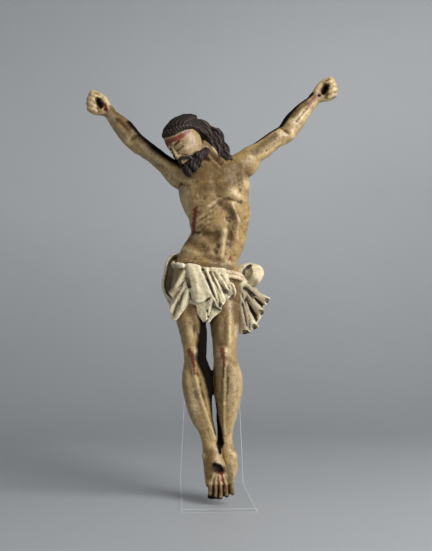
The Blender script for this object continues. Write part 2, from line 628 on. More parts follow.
# %% Beard
def beard_forms():
    jaw = limb([
        (-10, 10, -18.6, 2, 3.4, 3.4), (-10.4, 1, -20.6, 3.4, 5, 5), (-7.6, -8, -22.4, 4.6, 5.4, 5.4),
        (0, -13.6, -24, 6.4, 6, 6), (7.6, -8, -22.4, 4.6, 5.4, 5.4), (10.4, 1, -20.6, 3.4, 5, 5),
        (10, 10, -18.6, 2, 3.4, 3.4),
    ], sides=36, rings=70, strands=(9, 0.6, 1.0))
    moustache = [limb([
        (x * 0.1, -18.8, -11.6, 1.5), (x * 0.5, -18.2, -12.8, 1.9), (x, -14.8, -16.4, 1.6),
        (x * 1.1, -13.6, -19.6, 0.9),
    ], sides=18, rings=26, ends=(0.6, 0.6), strands=(4, 0.5, 1.4)) for x, in both_sides(8)]
    points = [
        ((-3.4, -15, -21, 5, 5, 5), (-4.8, -17.4, -26, 4.4, 4.6, 5), (-2.6, -18, -31, 2.4, 2.4, 3)),
        ((4.4, -14, -21, 4.4, 4.6, 5), (6, -15.4, -26, 3.8, 4, 4.6), (4, -15.6, -30.6, 2.2, 2, 2.6)),
        ((0.4, -17, -20, 3.4, 3.4, 3.4), (1, -20, -26, 3.0, 3.0, 3.4), (0, -20, -31.6, 1.8, 1.8, 2)),
        ((8, -9, -19, 3.6, 3.6, 4), (9, -10, -25, 3.0, 3.2, 3.4), (7, -10, -29.6, 1.6, 1.8, 2)),
        ((-9.6, -9.6, -18, 4, 4, 4), (-11, -11, -24, 3.4, 3.4, 3.4), (-9.6, -11.6, -28.4, 1.8, 1.8, 2)),
        ((11, -7, -16, 3.6, 3.6, 4), (12.4, -7.6, -21.6, 3.2, 3.2, 3.4), (11.4, -8, -26, 1.8, 1.8, 2)),
    ]
    tufts = [limb(stations, sides=26, rings=30, ends=(0, 0.7), strands=(5, 1.3, 2.6)) for stations in points]
    return [jaw, *moustache, *tufts]


beard = one_skin("beard", [bow(form) for form in beard_forms()], voxel=0.5, smooth=1)

# %% [markdown]
# ## Loincloth
# The cloth is carved from the same block: an apron of pleats in front, a hanging loop at the right hip and a
# fan of pipes with open ends at the left hip, under a round puff. A cloth simulation would drape it softly,
# but a carver cuts folds, so each fold is a tapered form, and the pipes are bored with cutters before all
# forms get one skin.

# %% Wrap at the back
def back_wrap():
    return limb([
        (-9.2, -16, 181, 28, 6, 8), (-10.4, -15, 190, 34.6, 8, 12), (-10.8, -14, 206, 36, 10, 16),
        (-10.4, -13, 220, 35.4, 10, 17), (-9, -12, 236, 33.6, 10, 15),
    ], sides=36, square=0.8)


# %% Folds that run from the waist to a wavy hem
def pleats(tops, hems, thick=2.0, bulge=1.4):
    deselect()
    bpy.ops.mesh.primitive_grid_add(x_subdivisions=12 * len(tops), y_subdivisions=30, size=2)
    cloth = bpy.context.object
    across, up, _ = read(cloth.data.vertices, "co").astype(float).T
    across, down = (across + 1) / 2, (1 - up) / 2
    places = spline(tops, across) * (1 - down)[:, None] + spline(hems, across) * down[:, None]
    places[:, 1] -= bulge * np.sin(math.pi * down)
    move_corners(cloth, places)
    return finish_with(cloth, "SOLIDIFY", thickness=thick * MM, offset=0)


def edge_roll(points):
    return limb(points, sides=14, rings=8 * len(points), ends=(0.8, 0.8))


def right_flap():
    return [
        pleats([(-34, -40, 226), (-32.4, -45.4, 224), (-30.6, -43, 219)],
               [(-48, -36, 203.6), (-47.6, -43.4, 200.6), (-43.8, -40, 196)]),
        pleats([(-31, -42, 214), (-30.4, -45.6, 212), (-29.8, -44, 210), (-29, -48, 208), (-28, -48, 206),
                (-27.2, -44, 204)],
               [(-46.4, -36, 191.6), (-47.4, -42.6, 184.6), (-44.6, -39.6, 178.6), (-42, -45, 175.6),
                (-36.6, -46.6, 180.6), (-27.6, -43.6, 193.2)]),
        edge_roll([(-45.6, -41, 178.6, 1.5), (-42.4, -44.4, 175.8, 1.7), (-38.6, -46, 178.6, 1.4)]),
        edge_roll([(-43.6, -37, 229.4, 2.4), (-39.4, -41.4, 230.2, 3.2), (-34.4, -44.6, 229.4, 2.6)]),
    ]


def middle_panel():
    return [
        pleats([(-32, -43, 231), (-29.6, -46.4, 231.6), (-25, -47, 231.2), (-19, -47.2, 229.6),
                (-15.4, -44.6, 227.6)],
               [(-25.4, -45, 197.4), (-24.2, -51.4, 195.8), (-19.4, -54.6, 193.2), (-11.4, -55.2, 196),
                (-5.6, -56, 199.2), (-3.6, -48, 196)], bulge=2.0),
        edge_roll([(-25, -49, 198.4, 1.0), (-23, -52.4, 194.4, 1.4), (-20, -54.6, 193, 1.5),
                   (-16, -55, 193.6, 1.4), (-11.8, -54.4, 196.4, 1.0)]),
        pleats([(-22, -47.6, 192.4), (-17, -49, 194), (-11, -51.8, 196), (-5.2, -54.8, 198.6),
                (-3.6, -50.6, 196)],
               [(-19.6, -46.4, 181), (-17, -48.6, 177), (-14, -48.8, 172.8), (-11.2, -51, 175.4),
                (-9.8, -47.4, 178.6)], bulge=0.6),
        pleats([(-8, -47, 190), (-3.6, -49.4, 191), (1, -48.6, 189), (3, -47, 186)],
               [(-11.4, -46, 174.6), (-9.4, -48.6, 171.9), (-4, -49.6, 178), (2.8, -46.6, 183.4)], bulge=0.6),
    ]


def left_folds():
    return [
        pleats([(-13.6, -43.6, 224.6), (-12.2, -47.6, 227), (-10.6, -47.6, 227.4), (-9.4, -45, 227.2)],
               [(-4.6, -46, 190), (-2, -54.4, 188), (2, -54.6, 185.6), (4.4, -47.4, 184)], bulge=1.8),
        pleats([(-10, -44.6, 227), (-6, -48, 227.6), (0, -47.6, 227.4), (5, -47.6, 227), (8, -44.6, 226.6)],
               [(2.4, -46.6, 188), (5.4, -53.6, 190), (8, -51, 194), (11, -53, 197), (15, -48.6, 201)],
               bulge=2.4),
        pleats([(3, -45, 220), (7.6, -46.8, 214.6), (10.6, -47.4, 211.8), (14.8, -46.6, 211.4),
                (16.8, -44, 207.4)],
               [(8, -46, 201), (10, -48, 199.4), (12.6, -45.4, 200), (15, -43.4, 200.6),
                (17, -42, 199.8)], bulge=0),
        edge_roll([(7.2, -45, 225, 1.1), (7.6, -46, 219, 1.2), (7.4, -46.8, 215, 1.3), (9.6, -47.8, 212, 1.5),
                   (14.2, -47.4, 211.2, 1.5), (16.6, -46, 207.2, 1.3), (18, -44.6, 202.4, 1.2),
                   (16.6, -42.6, 198.8, 1.0)]),
    ]


def lining():
    return pleats([(-33, -40.6, 229), (-20, -43, 229), (-6, -43.6, 227), (6, -42.4, 226)],
                  [(-35, -41, 194), (-20, -46.4, 190), (-6, -46.6, 188), (9, -44.6, 196)], thick=4, bulge=2.6)


# %% Loop at the right hip
def right_loop():
    band = limb([
        (-32, -14, 243, 8, 1.5, 1.5), (-43, -13, 244, 9, 1.5, 1.5), (-49.6, -12, 238, 9.4, 1.5, 1.5),
        (-52.6, -11, 225, 10, 1.5, 1.5), (-54.8, -11, 213, 10, 1.5, 1.5), (-52, -13, 203, 10, 1.5, 1.5),
        (-46, -18, 197, 10, 1.6, 1.6), (-39, -26, 192, 9, 2, 2),
    ], sides=28, rings=60, square=0.7, across=(0, 1, 0))
    back_sheet = limb([
        (-36, -5, 242, 8, 1.6, 1.6), (-41, -4, 228, 11.4, 1.6, 1.6), (-42.6, -4, 213, 12.4, 1.6, 1.6),
        (-40, -6, 200, 11.4, 1.8, 1.8), (-37, -10, 192, 8, 2, 2),
    ], sides=24, rings=30, ends=(0, 0.5), square=0.7)
    return [band, back_sheet]


# %% Fan and puff at the left hip
KNOT = np.array([24.0, -28.0, 217.4])
PIPES = (
    ((16, 3, -14), (29.4, 5, -22.4), 4.4), ((9.6, 1, -18), (23, 3, -35), 4.2),
    ((6, -1, -30), (15.4, 1, -50), 4.2), ((2.6, -2, -24), (5, -1, -55), 5.6),
)


def at_knot(stations, **form):
    return limb([(*(KNOT + np.array(station[:3], float)), *station[3:]) for station in stations], **form)


def pipe(middle, end, radius):
    away = unit(np.subtract(end, middle)[None])[0]
    outside = at_knot([
        (1, -2, -1, 2.4), (*middle, radius * 0.82, radius * 0.95, radius * 0.9), (*end, radius * 1.06),
    ], sides=28, rings=30, ends=(0, 0.2))
    inside = at_knot([
        (*(end + away * out + FRONT * forward), radius * share)
        for out, forward, share in ((-15, 0, 0.2), (-6, 1, 0.56), (1, 2.6, 0.84), (7, 5, 0.9))
    ], sides=20, rings=16)
    return cut(outside, inside)


def left_fan():
    web = at_knot([
        (0, 8, 0, 3, 2, 3), (9, 8, -14, 11, 2.4, 3), (13, 8, -27, 13, 2.4, 3),
        (11, 7, -40, 9.6, 2.2, 3), (8, 6, -49, 6.4, 2, 3),
    ], sides=28, rings=30, ends=(0, 0.5), square=0.8)
    puff = at_knot([
        (-1, 8, 5, 8, 8, 8), (8, 8, 7, 11.4, 10, 9), (16, 8, 4.4, 12.6, 10, 8.6), (21, 8, 1.4, 8.6, 7, 6),
    ], sides=36, rings=28, ends=(0.3, 0.4))
    puff_hollow = at_knot([
        (6.4, -5, 1, 3.6, 8, 8), (7.4, -4, 7, 6.0, 8.6, 8), (9, -4, 12.4, 4.6, 8.2, 8),
        (11.4, -4, 15.6, 2.4, 7, 8),
    ], sides=20, rings=20, ends=(0.6, 0.6))
    knot = at_knot([
        (-4, 1, 2, 4, 3.4, 3.4), (1, -0.6, 0, 4.2, 4, 4), (5, 0.4, -2, 3, 3, 3),
    ], sides=20, rings=10, ends=(0.8, 0.8))
    return [*[pipe(*sizes) for sizes in PIPES], web, cut(puff, puff_hollow), knot]


# %% One skin for the cloth, with its cut grooves
CLOTH_STROKES = [
    ((-13, 222), (-2.8, 197), 1.3, -2.0), ((-2.4, 197), (3.4, 185), 1.5, -2.4),
    ((-30.5, 216), (-28.3, 207.6), 1.5, -2.4), ((-15.6, 229), (-14.6, 223), 1.2, -1.6),
    ((-8, 223), (5.6, 193), 1.2, -1.6), ((-4, 222), (9.6, 199), 1.2, -1.8),
    ((-6.4, 219), (4, 196), 1.6, 0.8), ((0, 221), (11, 202), 1.8, 0.9), ((3, 220), (12, 206), 1.1, -1.0),
    ((8.6, 204), (13, 198), 1.4, -1.8), ((-10.8, 184), (-10, 178), 1.3, -1.8),
    ((-40, 206), (-33, 214), 1.0, -0.8), ((-38, 199), (-43, 182), 1.0, -1.0),
    ((-35, 201), (-40, 184), 1.0, -0.9), ((-25, 226), (-20, 203), 2.0, 0.7),
    ((29, 208.4), (53, 186), 2.2, -2.4), ((25.6, 202), (43, 174), 2.2, -2.4),
    ((25.4, 192), (34, 162), 1.8, -2.0),
]
KNOT_STROKES = [
    ((31, -34, 216), (44, -31, 211), 1.0, -1.3), ((31, -34, 219), (46, -30, 216.4), 1.0, -1.1),
    ((31, -35, 222), (40, -33, 222), 1.6, -0.8),
]
CLOTH_BACK_STROKES = [
    ((3, -8, 228), (-12, -2, 190), 1.6, -0.8), ((-26, -4, 228), (-16, -2, 192), 1.6, -0.8),
    ((16, -6, 226), (2, -3, 188), 1.6, -0.8),
]
CLOTH_SHADOWS = [
    ((-10.6, 216), (-2.8, 197), 1.4), ((-2.4, 197), (3.2, 186), 1.9), ((-18, 191.6), (-12, 193.4), 1.2),
    ((-12, 193.4), (-7, 196.4), 1.2), ((-30.4, 215), (-28.3, 207.6), 1.2),
    ((-15.4, 228), (-14.8, 225), 1.3), ((-27.6, 202), (-25.8, 196), 1.0), ((-10.6, 184), (-10, 178), 1.6),
    ((-3.6, 194), (-1.4, 186), 1.6), ((9, 203), (12, 199), 1.6), ((2, 206), (8.6, 199.6), 1.2),
    ((-2, 212), (5, 194), 0.9), ((11, 207), (14.6, 203.6), 1.5), ((29.4, 208), (53.4, 185.3), 2.4),
    ((25.3, 201.5), (43.4, 173.8), 2.8), ((25, 191.6), (34.4, 160.8), 2.6), ((25.4, 190), (27.6, 166), 3.6),
    ((27, 219), (27.6, 228), 3.0), ((27.6, 228), (33.6, 232.6), 2.4), ((-41, 230), (-43.6, 208), 3.4),
]
CLOTH_GRIME = [
    ((27, 208), (30, 170), 7), ((30, 205), (44, 186), 5), ((32, 212), (50, 198), 4),
    ((28, 224), (40, 214), 5), ((-43, 228), (-44, 206), 5), ((-4, 190), (2, 184), 4),
    ((10, 203), (16, 200), 3),
]

loincloth = one_skin(
    "loincloth",
    [back_wrap(), lining(), *right_flap(), *middle_panel(), *left_folds(), *right_loop(), *left_fan()],
    voxel=0.68, smooth=2,
)
carve(loincloth, CLOTH_STROKES, from_front=True)
carve(loincloth, KNOT_STROKES)
carve(loincloth, CLOTH_BACK_STROKES)
tool_marks(loincloth, size=4, depth=0.3)
hold_in(loincloth, -np.inf, (np.inf, 0, np.inf))

# %% [markdown]
# ## Girdle
# The girdle is a rope of two strands, carved where it shows at both hips. Each strand is a thin limb that
# winds round the rope's middle line.

# %% Rope
STRAND_RADIUS = 1.25
STRAND_OFFSET = 0.95
TURN_LENGTH = 6.6


def rope(points):
    t = np.linspace(0, 1, 16 * len(points))
    line = spline(points, t)
    along = unit(np.gradient(line, axis=0))
    side = unit(np.cross(along, (0.0, 0.0, 1.0)))
    up = np.cross(side, along)
    run = np.concatenate([[0], np.cumsum(np.linalg.norm(np.diff(line, axis=0), axis=1))])
    strands = []
    for phase in (0, math.pi):
        turn = run / TURN_LENGTH * 2 * math.pi + phase
        middle = line + STRAND_OFFSET * (side * np.cos(turn)[:, None] + up * np.sin(turn)[:, None])
        stations = [(*place, STRAND_RADIUS) for place in middle]
        strands.append(limb(stations, sides=12, rings=3 * len(middle), ends=(0.5, 0.5)))
    return strands


ROPES = [
    [(-33, -43.4, 228.6), (-38.6, -40.6, 230), (-43.4, -34, 232), (-44.4, -25, 234.4), (-42, -17, 236)],
    [(4, -46.4, 224), (10, -46.6, 223.4), (17.9, -43.4, 222.6), (24, -36.6, 221), (26.6, -31.6, 219.6)],
    [(6, -46.4, 219.6), (12, -46.4, 219.2), (19, -42, 218.6), (24.6, -35.6, 217.4), (26.6, -31.6, 216.6)],
]
girdle = one_skin("girdle", [strand for points in ROPES for strand in rope(points)], voxel=0.32, smooth=1)

# %% [markdown]
# ## Where paint wears and dirt gathers
# Old paint is dark in the hollows and pale on the ridges. Both are worked out from the mesh: a corner that
# lies below the mean of its surroundings is in a hollow, and one above it is on a ridge. The painted blood
# and the darkest grime are laid on along lines. Each becomes a named attribute that the materials read.

# %% Hollows, ridges and painted lines
def height_over_surroundings(piece, reach):
    a, b = read(piece.data.edges, "vertices", 2, np.int32).T
    places = corners(piece)
    n = len(places)
    degree = np.maximum(np.bincount(a, minlength=n) + np.bincount(b, minlength=n), 1)[:, None]
    mean = places.copy()
    for _ in range(reach):
        mean = np.stack([
            np.bincount(a, mean[b, k], n) + np.bincount(b, mean[a, k], n) for k in range(3)
        ], axis=1) / degree
    return np.sum((places - mean) * outward(piece), axis=1)


def keep(piece, name, values):
    attribute = piece.data.attributes.new(name, "FLOAT", "POINT")
    attribute.data.foreach_set("value", np.clip(values, 0, 1).astype(np.float32))


def mark_relief(piece, near, far, near_depth, far_depth, worn=0.0):
    fine = height_over_surroundings(piece, near) / near_depth
    broad = height_over_surroundings(piece, far) / far_depth
    keep(piece, "hollow", np.maximum(-fine, 0) * 0.6 + np.maximum(-broad, 0) * 0.7)
    keep(piece, "ridge", np.maximum(fine, 0) * 0.5 + np.maximum(broad, 0) * 0.6 + worn)


def along_lines(places, lines):
    return np.maximum.reduce([near_line(places, start, end, radius) for start, end, radius in lines])


def laid_on_from_front(piece, lines):
    return along_lines(corners(piece)[:, [0, 2]], lines) * np.clip(0.7 - outward(piece)[:, 1] * 2, 0, 1)


BLOOD_LINES = [
    ((-21.6, 288), (-23, 278), 2.0), ((-23, 278), (-24.4, 263), 2.2), ((-24, 287), (-20, 284), 1.4),
    ((-28.6, 145), (-25.6, 139.6), 2.8), ((-26.4, 141), (-23.4, 131), 2.1),
    ((-24.6, 133), (-22.4, 122), 1.3), ((3.4, 146), (5, 138.6), 2.6), ((5, 140), (5.6, 131), 1.7),
    ((5.4, 132), (6, 119), 1.0), ((4, 24.6), (5, 19), 2.1), ((1, 18), (1.6, 10), 0.9),
    ((6, 18), (8, 12), 0.8), ((3, 25), (7, 16), 1.2), ((98, 404), (108, 416), 2.0),
    ((-115, 396), (-117, 402), 2.0), ((14, 240), (12, 236), 1.4),
]
BROW_BLOOD = [
    ((-54, 352), (-46.9, 352.8), 3.9), ((-46.9, 352.8), (-40.7, 354.6), 3.4),
    ((-40.7, 354.6), (-35.7, 358), 3.0), ((-35.7, 358), (-29.7, 362.8), 2.4),
]
DARK_LINES = [
    ((1.4, 53), (3.4, 44.6), 2.0), ((-30, 333), (-46, 342), 5.0), ((-46, 342), (-62.6, 355), 5.6),
    ((-62.6, 355), (-78, 369.4), 5.4), ((-79, 370), (-90, 382), 3.6), ((-2.6, 33.4), (3, 31.6), 2.4),
    ((40, 362), (57.9, 375), 2.4), ((57.9, 375), (68.5, 382), 2.6), ((68.5, 382), (76, 393), 3.0),
    ((76, 393), (86, 405), 3.0), ((86, 405), (103, 419), 2.2),
    *[((1 + (x - 1) * 0.9, 14.6), (x, 4), 0.85) for x in TOE_GAPS],
    ((-9, 3), (-1, 1.6), 3.0), ((4, 2), (16, 4), 2.0),
    *[(in_hand(which, *start)[::2], in_hand(which, *end)[::2], radius) for which in (RIGHT_HAND, LEFT_HAND)
      for start, end, radius in (((15, 5, 6), (10, 1.5, 6), 2.6), ((4.5, 0.5, 6), (4.5, 0.5, 6), 1.7))],
]
WORN_LINES = [
    ((6.8, 264), (4, 241), 3.6), ((19, 307), (13, 299), 3.2), ((-16.2, 97), (-4, 58), 1.3),
    ((-24, 120), (-20.4, 84), 3.8), ((19, 124), (19, 84), 5), ((21, 84), (16, 56), 4),
    ((-97.7, 368), (-90, 360), 2.0), ((-74, 351), (-43, 329.2), 2.4), ((31, 339.6), (38.6, 350.8), 2.4),
    ((-26, 176), (-23, 158), 2.6), ((12, 120), (12.6, 92), 3.4), ((22, 128), (22, 96), 2.6),
    ((18, 160), (18, 178), 2.4), ((44, 345), (66, 362), 2.2), ((80, 374), (98, 396), 2.6),
    ((-22, 316), (-36, 316), 3.0), ((-34, 300), (-29, 278), 3.0), ((31, 330), (32, 312), 1.8),
]
GRIME_LINES = [
    ((-20, 322), (24, 330), 14), ((-16, 308), (8, 310), 9), ((14, 316), (30, 326), 8),
    ((-8, 344), (8, 334), 8), ((-16, 357), (-8, 350), 5.6), ((-62, 354), (-84, 370), 9),
    ((-100, 384), (-84, 366), 9), ((-98, 390), (-108, 398), 7), ((80, 392), (96, 408), 5),
    ((38, 348), (62, 368), 5), ((3, 294), (16, 281), 5), ((-14, 268), (-4, 256), 5),
    ((-30, 258), (-12, 246), 5.6), ((-12, 240), (2, 236), 4), ((12, 270), (15, 258), 3),
    ((-34, 232), (14, 228), 4), ((4, 186), (5, 152), 7), ((18, 214), (20, 176), 6), ((-8, 44), (-8, 22), 5),
    ((12, 30), (12, 14), 5), ((-6, 12), (14, 10), 7), ((-26, 186), (-22, 168), 7),
]


def inner_legs(piece):
    x, _, z = corners(piece).T
    between_legs = np.interp(z, [47, 62, 76, 96, 116, 136, 150], [2, 0, -1.5, -3, -3.8, -6, -8])
    right = np.interp(z, [58, 62, 76, 96, 116, 136, 150, 173, 191],
                      [3, -1, -4.4, -8, -12.6, -21, -20.6, -17.4, -16.6])
    left = np.interp(z, [45, 52, 64, 74, 92, 100], [4.6, 8.4, 6, 3.4, 0.8, -10])
    on_right = (x < between_legs) & (z > 56) & (z < 192)
    on_left = (x >= between_legs) & (z > 47) & (z < 100)
    return on_right * np.clip((x - right + 2.6) / 5, 0, 1) + on_left * np.clip((left - x + 0.6) / 2.4, 0, 1)


def beard_shadow(piece):
    x, y, z = ((corners(piece) - HEAD_CENTRE) @ np.array(HEAD_TURN)).T
    edge = np.interp(y, [-20, -15.4, -11.2, -5.5, 1.5, 6.5, 9, 12], [-12, -13, -15, -16, -16, -14, -5, 2])
    around_lips = np.hypot(x / 5.4, (z + 15.2) / 3.4)
    return np.clip((edge - z) / 2.4 + 0.5, 0, 1) * np.clip(around_lips * 3 - 2.4, 0, 1)


def cloth_shadows(piece):
    mouths = [(KNOT + end, KNOT + end, radius * 0.6) for _, end, radius in PIPES]
    bored = along_lines(corners(piece), mouths)
    valley = np.clip(-height_over_surroundings(piece, 16) / 0.5, 0, 1)
    return np.maximum(laid_on_from_front(piece, CLOTH_SHADOWS) * (0.3 + 0.9 * valley), bored)


mark_relief(body, 6, 60, 0.34, 2.0, worn=laid_on_from_front(body, WORN_LINES) * 0.7)
keep(body, "blood", laid_on_from_front(body, BLOOD_LINES))
nail_hole = along_lines(corners(body), [((-3, -44, 31.4), (3.4, -43, 29.4), 4.6)])
keep(body, "dark", np.maximum.reduce([laid_on_from_front(body, DARK_LINES), inner_legs(body), nail_hole]))
keep(body, "grime", laid_on_from_front(body, GRIME_LINES))
mark_relief(head, 6, 50, 0.2, 1.1, worn=0.3)
keep(head, "blood", laid_on_from_front(head, BROW_BLOOD))
keep(head, "beard", beard_shadow(head))
for piece in (hair, beard):
    mark_relief(piece, 4, 24, 0.25, 1.0)
mark_relief(loincloth, 6, 40, 0.4, 2.0)
keep(loincloth, "dark", cloth_shadows(loincloth))
keep(loincloth, "grime", laid_on_from_front(loincloth, CLOTH_GRIME))
mark_relief(girdle, 4, 12, 0.2, 0.5)
print("relief marked")

# %% [markdown]
# ## Stand
# The stand is one strip of clear acrylic, heated and bent: a flat foot, an upright, a short tongue forward
# and a tab that the figure is screwed to. It is modelled as it is made. A strip is drawn along its middle
# line by extruding its last edge, each bend is a spin, and the thickness and the polished edges come last
# with the Solidify and Bevel modifiers.

# %% Bent strip
SHEET = 3.0
FOOT_WIDTH = 70.0
FOOT_DEPTH = 150.0
BEND = 5.0                      # radius at the middle of the sheet
UPRIGHT_HEIGHT = 204.0
SHOULDER_WIDTH = 63.0
SHOULDER_HEIGHT = 88.0
NECK_WIDTH = 40.0
NECK_HEIGHT = 136.0
STAND_OFF = 65.0
TAB_HEIGHT = 48.0
SCREW_BELOW_TAB_TOP = 18.0
TAB_MIDDLE = FOOT_DEPTH / 2 - SHEET - STAND_OFF + SHEET / 2
TAB_TOP = UPRIGHT_HEIGHT + TAB_HEIGHT
SCREW_HEIGHT = TAB_TOP - SCREW_BELOW_TAB_TOP
NECK_STEPS = 17
TAB_STEPS = 14


def select_end(strip, y, z):
    bpy.ops.object.mode_set(mode="OBJECT")
    for vertex in strip.data.vertices:
        vertex.select = abs(vertex.co.y - y * MM) < 1e-5 and abs(vertex.co.z - z * MM) < 1e-5
    for edge in strip.data.edges:
        edge.select = all(strip.data.vertices[i].select for i in edge.vertices)
    for polygon in strip.data.polygons:
        polygon.select = False
    bpy.ops.object.mode_set(mode="EDIT")


def draw_on(dy, dz, width_ratio=1.0):
    bpy.ops.mesh.extrude_region_move(TRANSFORM_OT_translate={"value": (0, dy * MM, dz * MM)})
    bpy.ops.transform.resize(value=(width_ratio, 1, 1))


def width_at(z):
    taper = FOOT_WIDTH + (SHOULDER_WIDTH - FOOT_WIDTH) * z / SHOULDER_HEIGHT
    share = min(max((z - SHOULDER_HEIGHT) / (NECK_HEIGHT - SHOULDER_HEIGHT), 0), 1)
    ease = share * share * (3 - 2 * share)
    return max(taper, NECK_WIDTH) * (1 - ease) + NECK_WIDTH * ease


def clear_stand():
    half = SHEET / 2
    flat = FOOT_DEPTH - half - BEND
    deselect()
    bpy.ops.mesh.primitive_plane_add(size=MM, location=(0, (flat / 2 - FOOT_DEPTH / 2) * MM, half * MM))
    strip = bpy.context.object
    strip.name = "clear_stand"
    strip.scale = (FOOT_WIDTH, flat, 1)
    bpy.ops.object.transform_apply(location=True, rotation=True, scale=True)
    bpy.ops.object.mode_set(mode="EDIT")
    bpy.ops.mesh.select_mode(type="EDGE")
    back = FOOT_DEPTH / 2 - half
    select_end(strip, back - BEND, half)
    bend_turn = {"steps": 8, "axis": (1, 0, 0), "angle": -math.pi / 2}
    bpy.ops.mesh.spin(center=(0, (back - BEND) * MM, (half + BEND) * MM), **bend_turn)
    heights = [half + BEND, SHOULDER_HEIGHT, *np.linspace(SHOULDER_HEIGHT, NECK_HEIGHT, NECK_STEPS)[1:],
               UPRIGHT_HEIGHT - half - BEND]
    widths = [FOOT_WIDTH] + [width_at(z) for z in heights[1:]]
    select_end(strip, back, heights[0])
    for low, high, before, after in zip(heights, heights[1:], widths, widths[1:]):
        draw_on(0, high - low, after / before)
    select_end(strip, back, heights[-1])
    bpy.ops.mesh.spin(center=(0, (back - BEND) * MM, heights[-1] * MM), **bend_turn)
    tongue = UPRIGHT_HEIGHT - half
    select_end(strip, back - BEND, tongue)
    draw_on(-(STAND_OFF - 2 * BEND), 0)
    y = back - BEND - (STAND_OFF - 2 * BEND)
    select_end(strip, y, tongue)
    bpy.ops.mesh.spin(center=(0, y * MM, (tongue + BEND) * MM), steps=8, axis=(1, 0, 0), angle=math.pi / 2)
    round_start = TAB_TOP - NECK_WIDTH / 2
    select_end(strip, TAB_MIDDLE, tongue + BEND)
    draw_on(0, round_start - tongue - BEND)
    angles = [0.98 * math.pi / 2 * i / TAB_STEPS for i in range(TAB_STEPS + 1)]
    for a, b in zip(angles, angles[1:]):
        draw_on(0, NECK_WIDTH / 2 * (math.sin(b) - math.sin(a)), math.cos(b) / math.cos(a))
    bpy.ops.object.mode_set(mode="OBJECT")
    return strip


stand = clear_stand()
for _ in ("faces", "edges"):
    bpy.ops.object.material_slot_add()
strip_box = (*stand.bound_box[0], *stand.bound_box[6])
print("strip box in mm:", [round(v / MM, 1) for v in strip_box])

# %% Thickness, screw hole and polished edges
EDGE_BEVEL = 0.5
HOLE_RADIUS = 2.15


def round_bar(radius, depth, place, sides=32):
    deselect()
    bpy.ops.mesh.primitive_cylinder_add(
        vertices=sides, radius=radius * MM, depth=depth * MM,
        location=[v * MM for v in place], rotation=(math.pi / 2, 0, 0),
    )
    bpy.ops.object.transform_apply(location=True, rotation=True, scale=True)
    return bpy.context.object


finish_with(stand, "SOLIDIFY", thickness=SHEET * MM, offset=0)
finish_with(stand, "BEVEL", width=EDGE_BEVEL * MM, segments=2, limit_method="ANGLE",
            angle_limit=math.radians(50), material=1)
cut(stand, round_bar(HOLE_RADIUS, SHEET * 4, (0, TAB_MIDDLE, SCREW_HEIGHT)))
take(stand)
bpy.ops.object.shade_smooth_by_angle(angle=math.radians(14))
print("stand has", len(stand.data.polygons), "faces")

# %% [markdown]
# ## Screw
# A short brass wood screw with a slotted, slightly domed head. It starts as a cylinder for the head. The
# rim is rounded with a bevel, the shank is drawn out of the underside by inset and extrude, and the slot is
# cut by a bar.

# %% Screw
SCREW_RADIUS = 1.75
HEAD_RADIUS = 3.5
HEAD_HEIGHT = 2.2
HEAD_BEVEL = 0.9
SLOT = 1.0
SHANK = 17.6
TOUCH = 0.3                     # from the tab to the underside of the head


def select_face(piece, direction):
    bpy.ops.object.mode_set(mode="OBJECT")
    for element in (*piece.data.vertices, *piece.data.edges):
        element.select = False
    best = max(piece.data.polygons, key=lambda p: p.normal.dot(direction) + p.area)
    for polygon in piece.data.polygons:
        polygon.select = polygon == best
    bpy.ops.object.mode_set(mode="EDIT")


def slotted_screw():
    seat = TAB_MIDDLE + SHEET / 2 + TOUCH
    screw = round_bar(HEAD_RADIUS, HEAD_HEIGHT, (0, seat + HEAD_HEIGHT / 2, SCREW_HEIGHT), 48)
    screw.name = "slotted_screw"
    bpy.ops.object.mode_set(mode="EDIT")
    bpy.ops.mesh.select_mode(type="FACE")
    select_face(screw, Vector((0, 1, 0)))
    bpy.ops.mesh.bevel(offset=HEAD_BEVEL * MM, segments=5)
    select_face(screw, Vector((0, -1, 0)))
    bpy.ops.mesh.inset(thickness=(HEAD_RADIUS - SCREW_RADIUS) * MM)
    tip = SCREW_RADIUS * 2
    bpy.ops.mesh.extrude_region_move(TRANSFORM_OT_translate={"value": (0, -(SHANK - tip) * MM, 0)})
    bpy.ops.mesh.extrude_region_move(TRANSFORM_OT_translate={"value": (0, -tip * MM, 0)})
    bpy.ops.transform.resize(value=(0.05, 1, 0.05))
    bpy.ops.object.mode_set(mode="OBJECT")
    deselect()
    bpy.ops.mesh.primitive_cube_add(size=MM, location=(0, (seat + HEAD_HEIGHT) * MM, SCREW_HEIGHT * MM))
    bar = bpy.context.object
    bar.scale = (HEAD_RADIUS * 3, HEAD_HEIGHT, SLOT)
    bpy.ops.object.transform_apply(location=True, rotation=True, scale=True)
    cut(screw, bar)
    bpy.ops.object.shade_smooth_by_angle(angle=math.radians(40))
    return screw


screw = slotted_screw()
print("screw has", len(screw.data.polygons), "faces")

# %% [markdown]
# ## Shader maths as sums
# A material is a graph of nodes, which is long to write out. This class wraps one output of a node, so that
# `1 - mask * 0.5` adds its Math nodes by itself, and one method makes any other node.

